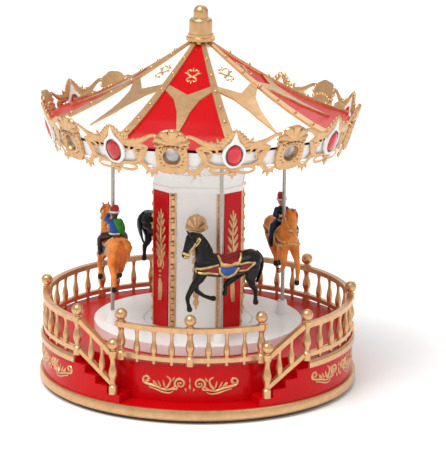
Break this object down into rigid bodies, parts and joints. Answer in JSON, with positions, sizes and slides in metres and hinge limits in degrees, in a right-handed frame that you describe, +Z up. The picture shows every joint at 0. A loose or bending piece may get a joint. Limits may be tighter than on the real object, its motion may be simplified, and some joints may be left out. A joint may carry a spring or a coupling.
{
  "type": "carousel music box",
  "caption": "Wind-up carousel music box: red drum with steps and balustrade, turning canopy and turntable, galloping horses on poles.",
  "frame": {"origin": "bottom centre of the round base, on the surface that it stands on", "axes": "+Z up along the carousel's axis, -Y towards the front wall between the two flights of steps, +X to the viewer's right"},
  "size_m": [0.191, 0.191, 0.2271],
  "materials": {
    "black_base": "satin moulded",
    "rubber_feet": "matte",
    "gold": "satin gold lacquer on moulded plastic",
    "red_gloss": "high gloss",
    "white_gloss": "high gloss",
    "steel": "drawn",
    "brass": "machined",
    "spring_steel": "blued",
    "nylon": "natural",
    "ruby": "clear ruby acrylic",
    "clear_stone": "clear acrylic",
    "pole_metal": "satin plated",
    "black_horse": "painted resin",
    "tan_horse": "painted resin",
    "saddle_paint": "painted resin",
    "rider_paint": "painted resin"
  },
  "bodies": {
    "root": {"base_plate": "black_base", "feet": "rubber_feet", "assembly_screws": "steel", "plinth_ring": "gold", "drum_shell": "red_gloss", "drum_rim": "gold", "drum_scrolls": "gold", "front_balustrade": "gold", "rear_balustrade": "gold", "stair_rail_left": "gold", "stair_rail_right": "gold", "column_plinth": "white_gloss", "column_shell": "white_gloss", "column_red_panels": "red_gloss", "column_borders": "gold", "column_ornaments": "gold", "column_capital": "white_gloss", "centre_post": "steel", "glide_ring": "nylon", "wave_cam": "nylon", "movement_bedplate": "brass", "movement_pillars": "brass", "movement_top_plate": "brass", "comb": "steel", "comb_anvil": "brass", "comb_screws": "steel"},
    "carousel": {"turntable": "white_gloss", "ring_gear": "nylon", "canopy_ceiling": "white_gloss", "canopy_bushes": "brass", "roof_white_panels": "white_gloss", "roof_red_panels": "red_gloss", "roof_ribs": "gold", "rib_rivets": "gold", "roof_stars": "gold", "fascia_ring": "gold", "fascia_medallions": "gold", "jewel_frames": "white_gloss", "ruby_jewels": "ruby", "clear_lenses": "clear_stone", "finial": "gold"},
    "horse_front": {"front_pole": "pole_metal", "front_horse": "black_horse", "front_saddle": "saddle_paint"},
    "horse_right": {"right_pole": "pole_metal", "right_horse": "tan_horse", "right_rider": "rider_paint"},
    "horse_back": {"back_pole": "pole_metal", "back_horse": "black_horse", "back_saddle": "saddle_paint"},
    "horse_left": {"left_pole": "pole_metal", "left_horse": "tan_horse", "left_rider": "rider_paint"},
    "winding_key": {"winding_key": "steel"},
    "barrel": {"spring_barrel": "brass", "mainspring": "spring_steel"},
    "idler": {"idler_gear": "brass"},
    "cylinder": {"pinned_cylinder": "brass", "cylinder_gears": "brass"},
    "governor": {"governor": "brass"}
  },
  "joints": [
    {"name": "carousel_spin", "type": "hinge", "parent": "root", "child": "carousel", "pos_m": [0, 0, 0.1], "axis": [0, 0, 1], "continuous": true},
    {"name": "bob_front", "type": "slide", "parent": "carousel", "child": "horse_front", "axis": [0, 0, 1], "range_m": [-0.002, 0.004]},
    {"name": "bob_right", "type": "slide", "parent": "carousel", "child": "horse_right", "axis": [0, 0, 1], "range_m": [-0.004, 0.002]},
    {"name": "bob_back", "type": "slide", "parent": "carousel", "child": "horse_back", "axis": [0, 0, 1], "range_m": [-0.002, 0.004]},
    {"name": "bob_left", "type": "slide", "parent": "carousel", "child": "horse_left", "axis": [0, 0, 1], "range_m": [-0.004, 0.002]},
    {"name": "barrel_spin", "type": "hinge", "parent": "root", "child": "barrel", "pos_m": [0, 0, 0.02], "axis": [0, 0, 1], "continuous": true},
    {"name": "idler_spin", "type": "hinge", "parent": "root", "child": "idler", "pos_m": [-0.00862, 0.02368, 0.02], "axis": [0, 0, 1], "continuous": true},
    {"name": "cylinder_spin", "type": "hinge", "parent": "root", "child": "cylinder", "pos_m": [0.00657, -0.01804, 0.02], "axis": [0, 0, 1], "continuous": true},
    {"name": "governor_spin", "type": "hinge", "parent": "root", "child": "governor", "pos_m": [0.01502, -0.01496, 0.02], "axis": [0, 0, 1], "continuous": true},
    {"name": "key_wind", "type": "hinge", "parent": "root", "child": "winding_key", "pos_m": [0, 0, 0.005], "axis": [0, 0, 1], "range_deg": [0, 2700]}
  ],
  "couplings": [
    {"joint": "bob_back", "follows": "bob_front", "ratio": 1},
    {"joint": "bob_right", "follows": "bob_front", "ratio": -1},
    {"joint": "bob_left", "follows": "bob_front", "ratio": -1},
    {"joint": "barrel_spin", "follows": "carousel_spin", "ratio": -2.5},
    {"joint": "idler_spin", "follows": "carousel_spin", "ratio": 3.3333},
    {"joint": "cylinder_spin", "follows": "carousel_spin", "ratio": 7.5},
    {"joint": "governor_spin", "follows": "carousel_spin", "ratio": -30}
  ]
}
